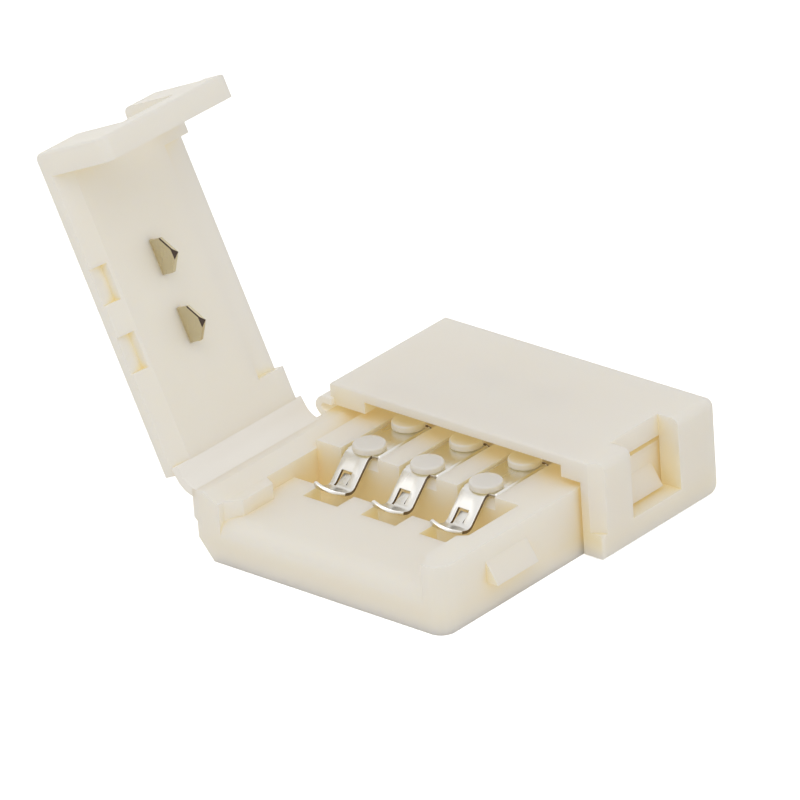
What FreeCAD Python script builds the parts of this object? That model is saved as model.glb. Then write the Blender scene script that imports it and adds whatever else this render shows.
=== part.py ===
"""Three-contact clip connector that joins two 10 mm LED strips end to end.

Millimetres. X runs across the strip, with the hinge side at -X and the latch side at +X.
Y runs along the strip, Z is up, and the origin is the middle of the base's underside.
Each half of the base has its own cover on a thin moulded hinge: the cover over -Y stands
open and the cover over +Y is shut. Both covers are drawn shut and then turned.
"""
import FreeCAD, Part
import os
import Sketcher
from FreeCAD import Placement, Rotation, Vector

os.makedirs("parts", exist_ok=True)
doc = FreeCAD.newDocument("StripConnector")

# Driving sizes

SIZES = {
    "strip_width": 10.0,           # LED strip that slides in at each end
    "strip_side_clearance": 0.05,
    "strip_shift": 0.2,            # the strip lies off the base's middle, away from the hinge
    "contact_shift": 0.13,
    "contact_pitch": 3.2,
    "base_length": 16.6,
    "hinge_wall_thickness": 1.25,
    "rail_thickness": 1.05,
    "deck_height": 2.05,           # the strip lies on the deck
    "deck_end_round": 0.8,
    "hinge_lug_depth": 0.6,        # guide lugs stand in from the side walls
    "rail_lug_depth": 0.4,
    "lug_length": 1.9,
    "lug_from_end": 0.9,
    "lug_lead_in": 0.6,
    "rail_height": 3.15,
    "rail_corner_round": 0.7,
    "hinge_wall_height": 3.15,     # under the webs; its top falls towards the strip
    "hinge_wall_inner": 2.78,
    "hinge_wall_flat": 0.6,
    "hinge_lip_out": 0.17,
    "hinge_lip_height": 1.3,
    "edge_chamfer_run": 0.78,
    "edge_chamfer_rise": 0.95,
    "bridge_depth": 3.9,           # block across the middle that carries the contacts
    "bridge_height": 3.15,
    "pit_reach": 1.55,             # pit under the springs, measured from the bridge
    "pit_floor": 0.8,
    "finger_reach": 1.1,           # slots that the spring tips dip into
    "finger_width": 1.9,
    "catch_middle": 4.12,          # from the middle of the base along Y
    "catch_length": 2.65,
    "catch_out": 0.6,
    "catch_bottom": 1.37,
    "catch_rise": 0.95,
    "metal_thickness": 0.2,        # contact strips
    "metal_width": 1.3,            # springs
    "body_width": 1.84,            # flat middle, which the posts hold
    "metal_side_gap": 0.1,
    "slot_lead_off": 0.35,
    "post_diameter": 0.7,
    "post_hole_gap": 0.05,
    "post_from_middle": 1.27,
    "head_diameter": 1.45,
    "head_thickness": 0.29,
    "head_edge_round": 0.08,
    "body_reach": 1.75,            # half length of the wide middle
    "flat_reach": 1.9,             # half length up to the spring's bend
    "spring_run": 1.15,
    "spring_drop": 1.12,
    "tip_run": 0.85,
    "tip_rise": 0.38,
    "bend_radius": 0.3,
    "tab_width": 0.5,              # tab lanced out of each spring
    "tab_slit": 0.1,
    "tab_start": 0.42,             # how far down the spring the tab starts, of its run
    "tab_end": 0.9,
    "tab_down": 0.12,
    "cover_thickness": 1.0,
    "cover_top": 4.45,
    "cover_gap": 0.62,             # cover's inner edge to the middle of the base
    "cover_end_inset": 0.02,
    "cover_hinge_out": 0.1,        # hinge end stands out past the base's wall
    "latch_gap": 0.17,
    "latch_thickness": 1.07,
    "latch_bottom": 0.1,
    "latch_corner_round": 0.35,
    "sill_height": 1.1,            # bar below the window
    "latch_foot_round": 0.45,
    "inner_post_width": 2.05,
    "outer_post_width": 2.42,
    "post_chamfer_across": 0.67,
    "post_chamfer_along": 0.35,
    "relief_depth": 0.54,          # room for the heads under the cover
    "relief_width": 1.55,
    "relief_hinge_margin": 0.05,   # how far it passes the strip at each side
    "relief_latch_margin": 0.6,
    "entry_run": 0.85,             # lead-in bevel at the strip's entry
    "entry_rise": 0.4,
    "notch_length": 1.65,          # notches in the entry bevel
    "notch_width": 0.7,
    "notch_depth": 0.48,
    "tooth_spacing": 3.1,          # pointed teeth pressed in under the cover
    "tooth_shift": 0.25,
    "tooth_middle": 4.85,          # from the middle of the base along Y
    "tooth_width": 1.55,
    "tooth_thickness": 0.2,
    "tooth_shoulder": 0.62,        # its straight sides, below the cover
    "tooth_reach": 1.28,           # its point, below the cover
    "tooth_seat": 0.45,
    "tooth_edge": 0.12,            # ground off along the point's outer face
    "tooth_hole_gap": 0.02,
    "hinge_axis_out": 0.5,         # hinge line, outside the base's wall
    "hinge_axis_up": 0.15,         # and above its top
    "front_open_angle": 114.0,
    "back_open_angle": 0.0,
    "web_thickness": 0.33,
    "web_length": 1.5,
    "web_end_gap": 0.02,
    "small_edge": 0.12,
}

# Places that follow from the sizes

PLACES = {
    "end_y": "Sizes.base_length / 2",
    "lug_half": "Sizes.strip_width / 2 + Sizes.strip_side_clearance",
    "rail_in": "Sizes.strip_shift + lug_half + Sizes.rail_lug_depth",
    "hinge_in": "Sizes.strip_shift - lug_half - Sizes.hinge_lug_depth",
    "rail_x": "rail_in + Sizes.rail_thickness",
    "hinge_x": "hinge_in - Sizes.hinge_wall_thickness",
    "lip_x": "hinge_x - Sizes.hinge_lip_out",
    "bridge_y": "Sizes.bridge_depth / 2",
    "slot_floor": "Sizes.bridge_height - Sizes.metal_thickness - 0.05",
    "head_bottom": "slot_floor + Sizes.metal_thickness + 0.02",
    "latch_in": "rail_x + Sizes.latch_gap",
    "latch_out": "latch_in + Sizes.latch_thickness",
    "cover_under": "Sizes.cover_top - Sizes.cover_thickness",
    "cover_far": "end_y - Sizes.cover_end_inset",
    "cover_width": "cover_far - Sizes.cover_gap",
    "sill_z": "Sizes.latch_bottom + Sizes.sill_height",
    "window_near": "Sizes.cover_gap + Sizes.inner_post_width",
    "window_far": "cover_far - Sizes.outer_post_width",
    "slope": "atan(Sizes.spring_drop / Sizes.spring_run)",
    "rise": "atan(Sizes.tip_rise / Sizes.tip_run)",
    "metal_top": "slot_floor + Sizes.metal_thickness",
    "bend_y": "Sizes.flat_reach + Sizes.spring_run",
    "bend_z": "metal_top - Sizes.spring_drop",
    "tip_y": "bend_y + Sizes.tip_run",
    "tip_z": "bend_z + Sizes.tip_rise",
    "cover_end_x": "hinge_x - Sizes.cover_hinge_out",
    "axis_x": "hinge_x - Sizes.hinge_axis_out",
    "axis_z": "Sizes.hinge_wall_height + Sizes.hinge_axis_up",
    "web_base_x": "lip_x - Sizes.web_end_gap",
    "web_base_z": "Sizes.hinge_wall_height - Sizes.web_thickness / 2 - Sizes.web_end_gap",
    "web_cover_x": "cover_end_x - Sizes.web_end_gap",
    "web_cover_z": "cover_under + Sizes.web_thickness / 2",
}


def fill_sheet(name, rows, prefix):
    """Put one value or formula on each row, with its name as the cell's alias."""
    sheet = doc.addObject("Spreadsheet::Sheet", name)
    for number, (alias, content) in enumerate(rows.items(), start=1):
        sheet.set("A%d" % number, alias)
        sheet.set("B%d" % number, prefix + str(content))
        sheet.setAlias("B%d" % number, alias)
    return sheet


sizes = fill_sheet("Sizes", SIZES, "")
doc.recompute()
places = fill_sheet("Places", PLACES, "=")
doc.recompute()


# Sketch and feature helpers

def new_body(label):
    body = doc.addObject("PartDesign::Body", label)
    body.Label = label
    return body


def origin_plane(body, role):
    for feature in body.Origin.OriginFeatures:
        if feature.Role == role:
            return feature
    raise ValueError("no plane " + role)


def new_sketch(body, name, role, offset):
    """Sketch on an origin plane of the body, moved along the plane's normal."""
    sketch = body.newObject("Sketcher::SketchObject", name)
    sketch.AttachmentSupport = [(origin_plane(body, role), "")]
    sketch.MapMode = "FlatFace"
    sketch.setExpression("AttachmentOffset.Base.z", offset)
    return sketch


def pin_point(sketch, geometry, point, across, along):
    """Hold one point of a sketch at a distance from its origin that the sheets give."""
    for kind, expression in (("DistanceX", across), ("DistanceY", along)):
        index = sketch.addConstraint(Sketcher.Constraint(kind, -1, 1, geometry, point, 1.0))
        sketch.setExpression("Constraints[%d]" % index, expression)


def add_polygon(sketch, corners):
    """Closed outline through corners given as pairs of expressions."""
    first = sketch.GeometryCount
    count = len(corners)
    ring = [Rotation(Vector(0, 0, 1), 360.0 * i / count).multVec(Vector(1, 0, 0)) for i in range(count)]
    for i in range(count):
        sketch.addGeometry(Part.LineSegment(ring[i], ring[(i + 1) % count]), False)
    for i in range(count):
        here, after = first + i, first + (i + 1) % count
        sketch.addConstraint(Sketcher.Constraint("Coincident", here, 2, after, 1))
    for i, (across, along) in enumerate(corners):
        pin_point(sketch, first + i, 1, across, along)


def add_rectangle(sketch, low_x, high_x, low_y, high_y):
    add_polygon(sketch, [(low_x, low_y), (high_x, low_y), (high_x, high_y), (low_x, high_y)])


def add_circle(sketch, across, along, diameter):
    index = sketch.addGeometry(Part.Circle(Vector(1, 1, 0), Vector(0, 0, 1), 1), False)
    pin_point(sketch, index, 3, across, along)
    size = sketch.addConstraint(Sketcher.Constraint("Diameter", index, 2.0))
    sketch.setExpression("Constraints[%d]" % size, diameter)


def solid_feature(body, kind, sketch, length, reverse=False):
    """Pad or pocket of a sketch by a length that the sheets give."""
    feature = body.newObject("PartDesign::" + kind, sketch.Name + kind)
    feature.Profile = sketch
    feature.setExpression("Length", length)
    feature.Reversed = reverse
    doc.recompute()
    return feature


def dress_edges(body, kind, name, test, size, expression):
    """Fillet or chamfer every edge of the body's last shape that passes the test."""
    base = body.Tip
    found = ["Edge%d" % (i + 1) for i, edge in enumerate(base.Shape.Edges) if test(edge)]
    if not found:
        raise ValueError("no edge for " + name)
    feature = body.newObject("PartDesign::" + kind, name)
    feature.Base = (base, found)
    feature.setExpression(size, expression)
    doc.recompute()
    return feature


def near(a, b):
    return abs(a - b) < 1e-4


def runs_along(edge, axis):
    """True for a straight edge parallel to X, Y or Z, given as 0, 1 or 2."""
    start, end = edge.Vertexes[0].Point, edge.Vertexes[-1].Point
    return all(near(start[i], end[i]) for i in range(3) if i != axis) and edge.Length > 1e-4


# Base

CONTACT_COLUMNS = {"left": -1, "middle": 0, "right": 1}


def contact_x(step):
    return "Sizes.contact_shift + %d * Sizes.contact_pitch" % step


def make_base():
    """Housing: section along Y, then the end rounds, lugs, pits, bridge and catches."""
    body = new_body("base_housing")
    section = new_sketch(body, "BaseSection", "XZ_Plane", "-Places.end_y")
    add_polygon(section, [
        ("Places.hinge_x + Sizes.edge_chamfer_run", "0"),
        ("Places.rail_x", "0"),
        ("Places.rail_x", "Sizes.rail_height"),
        ("Places.rail_in", "Sizes.rail_height"),
        ("Places.rail_in", "Sizes.deck_height"),
        ("Places.hinge_in", "Sizes.deck_height"),
        ("Places.hinge_in", "Sizes.hinge_wall_inner"),
        ("Places.lip_x + Sizes.hinge_wall_flat", "Sizes.hinge_wall_height"),
        ("Places.lip_x", "Sizes.hinge_wall_height"),
        ("Places.lip_x", "Sizes.hinge_wall_height - Sizes.hinge_lip_height"),
        ("Places.hinge_x", "Sizes.hinge_wall_height - Sizes.hinge_lip_height - Sizes.hinge_lip_out"),
        ("Places.hinge_x", "Sizes.edge_chamfer_rise"),
    ])
    solid_feature(body, "Pad", section, "Sizes.base_length")

    end = places.end_y
    dress_edges(body, "Fillet", "RailCorners",
                lambda e: runs_along(e, 2) and near(e.Vertexes[0].X, places.rail_x)
                and near(abs(e.Vertexes[0].Y), end),
                "Radius", "Sizes.rail_corner_round")
    dress_edges(body, "Fillet", "DeckEnds",
                lambda e: runs_along(e, 0) and near(e.Vertexes[0].Z, sizes.deck_height)
                and near(abs(e.Vertexes[0].Y), end),
                "Radius", "Sizes.deck_end_round")
    add_lugs(body, "RailLugs", "Places.rail_in", "Sizes.strip_shift + Places.lug_half", "Sizes.rail_height")
    add_lugs(body, "HingeLugs", "Places.hinge_in", "Sizes.strip_shift - Places.lug_half",
             "Sizes.hinge_wall_inner")
    add_pits(body)
    add_bridge(body)
    add_catches(body)
    return body


def add_lugs(body, name, wall, tip, top):
    """Guide lugs with a lead-in, one near each end of a side wall."""
    sketch = new_sketch(body, name, "XY_Plane", "Sizes.deck_height - Sizes.deck_end_round")
    outer = "(Places.end_y - Sizes.lug_from_end)"
    inner = "(Places.end_y - Sizes.lug_from_end - Sizes.lug_length)"
    for side in (-1, 1):
        add_polygon(sketch, [
            (wall, "%d * (%s + Sizes.lug_lead_in)" % (side, outer)),
            (tip, "%d * %s" % (side, outer)),
            (tip, "%d * %s" % (side, inner)),
            (wall, "%d * (%s - Sizes.lug_lead_in / 2)" % (side, inner)),
        ])
    solid_feature(body, "Pad", sketch, "%s - Sizes.deck_height + Sizes.deck_end_round" % top)


def add_pits(body):
    """Pit beside the bridge at each side, and a slot in the deck for each spring tip."""
    sketch = new_sketch(body, "Pits", "XY_Plane", "Sizes.deck_height")
    reach = "(Places.bridge_y + Sizes.pit_reach)"
    for side in (-1, 1):
        add_rectangle(sketch, "Places.hinge_in", "Places.rail_in",
                      "%d * Places.bridge_y" % side, "%d * %s" % (side, reach))
    solid_feature(body, "Pocket", sketch, "Sizes.deck_height - Sizes.pit_floor")
    slots = new_sketch(body, "TipSlots", "XY_Plane", "Sizes.deck_height")
    for side in (-1, 1):
        for step in CONTACT_COLUMNS.values():
            middle = contact_x(step)
            add_rectangle(slots, middle + " - Sizes.finger_width / 2", middle + " + Sizes.finger_width / 2",
                          "%d * (%s - 0.01)" % (side, reach),
                          "%d * (%s + Sizes.finger_reach)" % (side, reach))
    solid_feature(body, "Pocket", slots, "Sizes.deck_height - Sizes.pit_floor")


def add_bridge(body):
    """Block across the middle, slotted for the contacts, with a headed post on each side of centre."""
    block = new_sketch(body, "Bridge", "XY_Plane", "Sizes.pit_floor")
    add_rectangle(block, "Places.hinge_in", "Places.rail_in", "-Places.bridge_y", "Places.bridge_y")
    solid_feature(body, "Pad", block, "Sizes.bridge_height - Sizes.pit_floor")
    slots = new_sketch(body, "ContactSlots", "XY_Plane", "Sizes.bridge_height")
    for step in CONTACT_COLUMNS.values():
        middle = contact_x(step)
        half = "(Sizes.body_width / 2 + Sizes.metal_side_gap)"
        add_rectangle(slots, middle + " - " + half, middle + " + " + half,
                      "-Places.bridge_y - 0.01", "Places.bridge_y + 0.01")
    solid_feature(body, "Pocket", slots, "Sizes.bridge_height - Places.slot_floor")
    dress_edges(body, "Chamfer", "SlotLeadOffs",
                lambda e: runs_along(e, 0) and near(e.Vertexes[0].Z, places.slot_floor)
                and near(abs(e.Vertexes[0].Y), places.bridge_y),
                "Size", "Sizes.slot_lead_off")
    posts = new_sketch(body, "Posts", "XY_Plane", "Places.slot_floor - 0.1")
    heads = new_sketch(body, "Heads", "XY_Plane", "Places.head_bottom")
    for side in (-1, 1):
        for step in CONTACT_COLUMNS.values():
            along = "%d * Sizes.post_from_middle" % side
            add_circle(posts, contact_x(step), along, "Sizes.post_diameter")
            add_circle(heads, contact_x(step), along, "Sizes.head_diameter")
    solid_feature(body, "Pad", posts, "Places.head_bottom - Places.slot_floor + 0.1 + Sizes.head_thickness / 2")
    solid_feature(body, "Pad", heads, "Sizes.head_thickness")
    top = places.head_bottom + sizes.head_thickness
    dress_edges(body, "Fillet", "HeadEdges", lambda e: near(e.BoundBox.ZMin, top) and near(e.BoundBox.ZMax, top),
                "Radius", "Sizes.head_edge_round")


def add_catches(body):
    """Ramped catch on the latch wall of each half, with a flat underside."""
    for side, name in ((-1, "FrontCatch"), (1, "BackCatch")):
        start = "-(%d * Sizes.catch_middle - Sizes.catch_length / 2)" % side
        sketch = new_sketch(body, name, "XZ_Plane", start)
        add_polygon(sketch, [
            ("Places.rail_x - 0.1", "Sizes.catch_bottom"),
            ("Places.rail_x + Sizes.catch_out", "Sizes.catch_bottom"),
            ("Places.rail_x", "Sizes.catch_bottom + Sizes.catch_rise"),
            ("Places.rail_x - 0.1", "Sizes.catch_bottom + Sizes.catch_rise"),
        ])
        solid_feature(body, "Pad", sketch, "Sizes.catch_length", reverse=True)



# Contacts

def make_contact(name, step):
    """One bent metal strip: flat middle, a spring down each side and a turned-up tip."""
    body = new_body(name)
    profile = new_sketch(body, name + "_profile", "YZ_Plane", contact_x(step) + " - Sizes.metal_width / 2")
    thick = "Sizes.metal_thickness"
    corner = "(1 + cos(Places.slope + Places.rise))"
    outside = [
        ("Sizes.flat_reach", "Places.metal_top"),
        ("Places.bend_y", "Places.bend_z"),
        ("Places.tip_y", "Places.tip_z"),
        ("Places.tip_y + %s * sin(Places.rise)" % thick, "Places.tip_z - %s * cos(Places.rise)" % thick),
        ("Places.bend_y + %s * (sin(Places.rise) - sin(Places.slope)) / %s" % (thick, corner),
         "Places.bend_z - %s * (cos(Places.rise) + cos(Places.slope)) / %s" % (thick, corner)),
        ("Sizes.flat_reach - %s * tan(Places.slope / 2)" % thick, "Places.slot_floor"),
    ]
    other_side = [("-(%s)" % across, along) for across, along in reversed(outside)]
    add_polygon(profile, outside + other_side)
    solid_feature(body, "Pad", profile, "Sizes.metal_width")

    reach, bend = sizes.flat_reach, places.bend_y
    lower_reach = reach - sizes.metal_thickness * 0.3
    dress_edges(body, "Fillet", name + "_outer_bends",
                lambda e: runs_along(e, 0) and e.Vertexes[0].Z > places.metal_top - 1e-4
                or runs_along(e, 0) and near(e.Vertexes[0].Z, lowest_z(body)),
                "Radius", "Sizes.bend_radius + Sizes.metal_thickness")
    dress_edges(body, "Fillet", name + "_inner_bends",
                lambda e: runs_along(e, 0) and near(e.Vertexes[0].Z, places.bend_z)
                and near(abs(e.Vertexes[0].Y), bend)
                or runs_along(e, 0) and near(e.Vertexes[0].Z, places.slot_floor)
                and abs(e.Vertexes[0].Y) > lower_reach - 0.3,
                "Radius", "Sizes.bend_radius")
    wide = new_sketch(body, name + "_middle", "XY_Plane", "Places.slot_floor")
    add_rectangle(wide, contact_x(step) + " - Sizes.body_width / 2", contact_x(step) + " + Sizes.body_width / 2",
                  "-Sizes.body_reach", "Sizes.body_reach")
    solid_feature(body, "Pad", wide, "Sizes.metal_thickness")
    holes = new_sketch(body, name + "_holes", "XY_Plane", "Places.metal_top")
    for side in (-1, 1):
        add_circle(holes, contact_x(step), "%d * Sizes.post_from_middle" % side,
                   "Sizes.post_diameter + 2 * Sizes.post_hole_gap")
    solid_feature(body, "Pocket", holes, "Sizes.metal_thickness + 0.1")
    add_tabs(body, name, step)
    return body


def lowest_z(body):
    return body.Tip.Shape.BoundBox.ZMin


def add_tabs(body, name, step):
    """Opening in each spring round a tab that is joined at its lower end and pressed in at its top."""
    middle = contact_x(step)
    start = "(Sizes.flat_reach + Sizes.spring_run * Sizes.tab_start)"
    end = "(Sizes.flat_reach + Sizes.spring_run * Sizes.tab_end)"
    window = new_sketch(body, name + "_windows", "XY_Plane", "Places.metal_top + 0.1")
    half = "(Sizes.tab_width / 2 + Sizes.tab_slit)"
    for side in (-1, 1):
        add_rectangle(window, "%s - %s" % (middle, half), "%s + %s" % (middle, half),
                      "%d * %s" % (side, start), "%d * %s" % (side, end))
    solid_feature(body, "Pocket", window, "Sizes.spring_drop + Sizes.metal_thickness + 1")
    tab = new_sketch(body, name + "_tabs", "YZ_Plane", middle + " - Sizes.tab_width / 2")
    high = "(Places.metal_top - Sizes.spring_drop * Sizes.tab_start)"
    low = "(Places.metal_top - Sizes.spring_drop * Sizes.tab_end)"
    thick_z = "(Sizes.metal_thickness / cos(Places.slope))"
    for side in (-1, 1):
        add_polygon(tab, [
            ("%d * (%s + Sizes.tab_slit)" % (side, start), "%s - Sizes.tab_slit - Sizes.tab_down" % high),
            ("%d * (%s + 0.01)" % (side, end), "%s - 0.01" % low),
            ("%d * (%s + 0.01)" % (side, end), "%s - 0.01 - %s" % (low, thick_z)),
            ("%d * (%s + Sizes.tab_slit)" % (side, start),
             "%s - Sizes.tab_slit - Sizes.tab_down - %s" % (high, thick_z)),
        ])
    solid_feature(body, "Pad", tab, "Sizes.tab_width")


# Covers, drawn shut; side is -1 for the cover over -Y and 1 for the one over +Y

def place_open(thing, angle):
    """Turn a body or feature about the hinge line by an opening angle."""
    thing.setExpression("Placement", "placement(vector(0; 0; 0); rotation(vector(0; -1; 0); %s * 1 deg); "
                        "vector(Places.axis_x; 0; Places.axis_z))" % angle)


def make_cover(name, side, angle):
    """Plate with a latch flap hanging from its free end, cut through by the catch's window."""
    body = new_body(name)
    start = "-Places.cover_far" if side > 0 else "Sizes.cover_gap"
    profile = new_sketch(body, name + "_profile", "XZ_Plane", start)
    add_polygon(profile, [
        ("Places.cover_end_x", "Places.cover_under"),
        ("Places.latch_in", "Places.cover_under"),
        ("Places.latch_in", "Sizes.latch_bottom"),
        ("Places.latch_out", "Sizes.latch_bottom"),
        ("Places.latch_out", "Sizes.cover_top"),
        ("Places.cover_end_x", "Sizes.cover_top"),
    ])
    solid_feature(body, "Pad", profile, "Places.cover_width")
    dress_edges(body, "Fillet", name + "_latch_corner",
                lambda e: runs_along(e, 1) and near(e.Vertexes[0].X, places.latch_out)
                and near(e.Vertexes[0].Z, sizes.cover_top),
                "Radius", "Sizes.latch_corner_round")
    dress_edges(body, "Fillet", name + "_latch_foot",
                lambda e: runs_along(e, 0) and near(e.Vertexes[0].Z, sizes.latch_bottom)
                and near(abs(e.Vertexes[0].Y), places.cover_far),
                "Radius", "Sizes.latch_foot_round")
    dress_edges(body, "Fillet", name + "_top_edges",
                lambda e: near(e.BoundBox.ZMin, sizes.cover_top) and near(e.BoundBox.ZMax, sizes.cover_top)
                and e.BoundBox.XMin < 0,
                "Radius", "Sizes.small_edge")

    window = new_sketch(body, name + "_window", "XY_Plane", "Sizes.cover_top + 0.1")
    add_rectangle(window, "Places.latch_in - 0.02", "Places.latch_out + 0.1",
                  "%d * Places.window_near" % side, "%d * Places.window_far" % side)
    solid_feature(body, "Pocket", window, "Sizes.cover_top + 0.1 - Places.sill_z")

    corner = new_sketch(body, name + "_post_corner", "XY_Plane", "Sizes.cover_top + 0.1")
    edge = "%d * Sizes.cover_gap" % side
    add_polygon(corner, [
        ("Places.latch_out - Sizes.post_chamfer_across", edge),
        ("Places.latch_out", "%s + %d * Sizes.post_chamfer_along" % (edge, side)),
        ("Places.latch_out + 0.1", "%s + %d * Sizes.post_chamfer_along" % (edge, side)),
        ("Places.latch_out + 0.1", "%s - %d * 0.1" % (edge, side)),
        ("Places.latch_out - Sizes.post_chamfer_across", "%s - %d * 0.1" % (edge, side)),
    ])
    solid_feature(body, "Pocket", corner, "Sizes.cover_top + 0.1 - Places.sill_z")
    add_underside(body, name, side)
    place_open(body, angle)
    doc.recompute()
    return body


def add_underside(body, name, side):
    """Relief over the heads, entry bevel with its notches, and the teeth's slots."""
    relief = new_sketch(body, name + "_relief", "XY_Plane", "Places.cover_under")
    add_rectangle(relief, "Sizes.strip_shift - Places.lug_half - Sizes.relief_hinge_margin",
                  "Sizes.strip_shift + Places.lug_half + Sizes.relief_latch_margin",
                  "%d * (Sizes.cover_gap - 0.1)" % side, "%d * (Sizes.cover_gap + Sizes.relief_width)" % side)
    solid_feature(body, "Pocket", relief, "Sizes.relief_depth", reverse=True)

    bevel = new_sketch(body, name + "_entry", "YZ_Plane", "Places.latch_in")
    far = "%d * Places.cover_far" % side
    add_polygon(bevel, [
        ("%s - %d * Sizes.entry_run" % (far, side), "Places.cover_under"),
        (far, "Places.cover_under + Sizes.entry_rise"),
        ("%s + %d * 0.1" % (far, side), "Places.cover_under + Sizes.entry_rise"),
        ("%s + %d * 0.1" % (far, side), "Places.cover_under - 0.1"),
        ("%s - %d * Sizes.entry_run" % (far, side), "Places.cover_under - 0.1"),
    ])
    solid_feature(body, "Pocket", bevel, "Places.latch_in - Places.cover_end_x + 0.1")

    notches = new_sketch(body, name + "_notches", "XY_Plane", "Places.cover_under")
    for share in ("-0.5", "0.5"):
        middle = tooth_x(share)
        add_rectangle(notches, middle + " - Sizes.notch_length / 2", middle + " + Sizes.notch_length / 2",
                      "%s - %d * Sizes.notch_width" % (far, side), "%s + %d * 0.1" % (far, side))
    solid_feature(body, "Pocket", notches, "Sizes.notch_depth", reverse=True)

    slots = new_sketch(body, name + "_tooth_slots", "XY_Plane", "Places.cover_under")
    middle_y = "%d * Sizes.tooth_middle" % side
    for share in ("-0.5", "0.5"):
        add_rectangle(slots, tooth_x(share) + " - Sizes.tooth_width / 2 - Sizes.tooth_hole_gap",
                      tooth_x(share) + " + Sizes.tooth_width / 2 + Sizes.tooth_hole_gap",
                      middle_y + " - Sizes.tooth_thickness / 2 - Sizes.tooth_hole_gap",
                      middle_y + " + Sizes.tooth_thickness / 2 + Sizes.tooth_hole_gap")
    solid_feature(body, "Pocket", slots, "Sizes.tooth_seat + Sizes.tooth_hole_gap", reverse=True)


def tooth_x(share):
    """Middle of one tooth across the strip."""
    return "(Sizes.tooth_shift + %s * Sizes.tooth_spacing)" % share


def make_tooth(name, side, share, angle):
    """Pointed blade of sheet metal, pressed into the underside of a cover and sharpened outside."""
    body = new_body(name)
    near_face = "-(%d * Sizes.tooth_middle) - Sizes.tooth_thickness / 2" % side
    outline = new_sketch(body, name + "_outline", "XZ_Plane", near_face)
    left = tooth_x(share) + " - Sizes.tooth_width / 2"
    right = tooth_x(share) + " + Sizes.tooth_width / 2"
    add_polygon(outline, [
        (left, "Places.cover_under + Sizes.tooth_seat"),
        (left, "Places.cover_under - Sizes.tooth_shoulder"),
        (tooth_x(share), "Places.cover_under - Sizes.tooth_reach"),
        (right, "Places.cover_under - Sizes.tooth_shoulder"),
        (right, "Places.cover_under + Sizes.tooth_seat"),
    ])
    solid_feature(body, "Pad", outline, "Sizes.tooth_thickness")
    outer_y = side * (sizes.tooth_middle + sizes.tooth_thickness / 2)
    dress_edges(body, "Chamfer", name + "_ground_edges",
                lambda e: near(e.BoundBox.YMin, outer_y) and near(e.BoundBox.YMax, outer_y)
                and not runs_along(e, 0) and not runs_along(e, 2),
                "Size", "Sizes.tooth_edge")
    place_open(body, angle)
    doc.recompute()
    return body


# Hinge webs, shaped for the pose that each cover stands in

def make_web(name, side, angle, prefix):
    """Thin moulded web: out from the hinge wall's lip, round, and back to the end of a cover.

    Its middle line has four points: base, knee, crook and end. The sheet works out their
    places and how far the two faces lie from each point, for the cover's opening angle.
    """
    rows = {
        "turn": "%s * 1 deg" % angle,
        "arm_x": "Places.web_cover_x - Places.axis_x",
        "arm_z": "Places.web_cover_z - Places.axis_z",
        "end_x": "Places.axis_x + {0}arm_x * cos({0}turn) - {0}arm_z * sin({0}turn)",
        "end_z": "Places.axis_z + {0}arm_x * sin({0}turn) + {0}arm_z * cos({0}turn)",
        "chord": "sqrt(({0}end_x - Places.web_base_x) ^ 2 + ({0}end_z - Places.web_base_z) ^ 2)",
        "out": "max(Sizes.web_length - {0}chord; 0.3) / 2",
        "knee_x": "Places.web_base_x - {0}out",
        "knee_z": "Places.web_base_z",
        "crook_x": "{0}end_x - {0}out * cos({0}turn)",
        "crook_z": "{0}end_z - {0}out * sin({0}turn)",
        "side_len": "sqrt(({0}crook_x - {0}knee_x) ^ 2 + ({0}crook_z - {0}knee_z) ^ 2)",
        "side_x": "-({0}crook_z - {0}knee_z) / {0}side_len",
        "side_z": "({0}crook_x - {0}knee_x) / {0}side_len",
        "knee_face_x": "{0}side_x / (1 - {0}side_z)",
        "knee_face_z": "({0}side_z - 1) / (1 - {0}side_z)",
        "crook_dot": "-{0}side_x * sin({0}turn) + {0}side_z * cos({0}turn)",
        "crook_face_x": "({0}side_x - sin({0}turn)) / (1 + {0}crook_dot)",
        "crook_face_z": "({0}side_z + cos({0}turn)) / (1 + {0}crook_dot)",
    }
    rows = {prefix + word: content.format(prefix) for word, content in rows.items()}
    sheet = fill_sheet(prefix.capitalize() + "web", rows, "=")
    doc.recompute()
    at = sheet.Name + "." + prefix
    body = new_body(name)
    start = "-Places.cover_far" if side > 0 else "Sizes.cover_gap"
    sketch = new_sketch(body, name + "_section", "XZ_Plane", start)
    outer, inner = [], []
    for face, sign in ((outer, "+"), (inner, "-")):
        half = "%s Sizes.web_thickness / 2" % sign
        face.append(("Places.web_base_x", "Places.web_base_z %s * -1" % half))
        face.append(("{0}knee_x {1} * {0}knee_face_x".format(at, half),
                     "{0}knee_z {1} * {0}knee_face_z".format(at, half)))
        face.append(("{0}crook_x {1} * {0}crook_face_x".format(at, half),
                     "{0}crook_z {1} * {0}crook_face_z".format(at, half)))
        face.append(("{0}end_x {1} * -sin({0}turn)".format(at, half),
                     "{0}end_z {1} * cos({0}turn)".format(at, half)))
    add_polygon(sketch, outer + list(reversed(inner)))
    solid_feature(body, "Pad", sketch, "Places.cover_width")
    return body


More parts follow.
